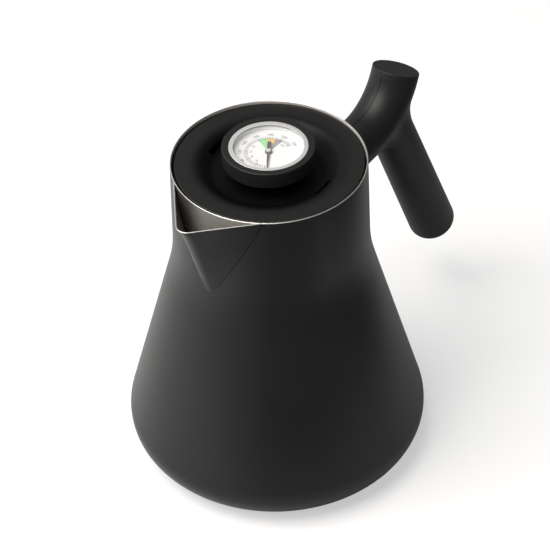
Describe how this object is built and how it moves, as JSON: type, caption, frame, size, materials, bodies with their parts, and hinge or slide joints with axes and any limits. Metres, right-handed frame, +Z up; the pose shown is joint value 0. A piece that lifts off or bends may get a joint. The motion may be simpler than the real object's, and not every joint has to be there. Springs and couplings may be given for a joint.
{
  "type": "stovetop pouring kettle",
  "caption": "Stovetop kettle with a flared body, V-lip strainer spout, branch-shaped side handle and a lift-off lid whose knob holds a dial thermometer.",
  "frame": {"origin": "centre of the base's underside, on the surface the kettle stands on", "axes": "+Z up along the body's axis; the spout points along -X and the handle along +X"},
  "size_m": [0.2079, 0.1398, 0.1671],
  "materials": {
    "black_coat": "matte black powder coat",
    "bare_steel": "brushed bare stainless steel",
    "base_steel": "turned magnetic steel",
    "bezel_steel": "polished steel",
    "fastener_steel": "plain zinc-plated steel",
    "disc_aluminium": "milled",
    "handle_plastic": "fine matte moulded black",
    "knob_plastic": "fine matte moulded black",
    "silicone": "soft black silicone",
    "lens_glass": "clear flat glass",
    "dial_white": "printed white enamel",
    "bush_brass": "turned brass",
    "coil_bimetal": "plain wound strip",
    "pointer_grey": "dark grey paint"
  },
  "bodies": {
    "kettle": {"body_shell": "black_coat", "base_pan": "black_coat", "heat_disc": "disc_aluminium", "base_cover": "base_steel", "spout": "black_coat", "handle": "handle_plastic", "handle_bracket": "bare_steel", "handle_washer": "fastener_steel", "handle_screw": "fastener_steel", "handle_cap": "handle_plastic"},
    "lid": {"lid_cover": "black_coat", "lid_skirt": "black_coat", "lid_gasket": "silicone", "knob": "knob_plastic", "knob_neck": "knob_plastic", "knob_seal": "silicone", "lid_washer": "silicone", "lid_nut": "fastener_steel", "thermometer_case": "bare_steel", "bezel": "bezel_steel", "lens": "lens_glass", "lens_seal": "silicone", "dial_plate": "dial_white", "thermometer_stem": "bare_steel", "shaft_bush": "bush_brass", "bimetal_coil": "coil_bimetal"},
    "pointer": {"pointer": "pointer_grey", "pointer_hub": "bezel_steel", "pointer_shaft": "bare_steel"}
  },
  "joints": [
    {"name": "lid_lift", "type": "slide", "parent": "kettle", "child": "lid", "axis": [0, 0, 1], "range_m": [0, 0.11]},
    {"name": "pointer_turn", "type": "hinge", "parent": "lid", "child": "pointer", "pos_m": [0, 0, 0.164], "axis": [0, 0, -1], "range_deg": [0, 240], "stiffness_Nm_per_rad": 0.00001}
  ]
}
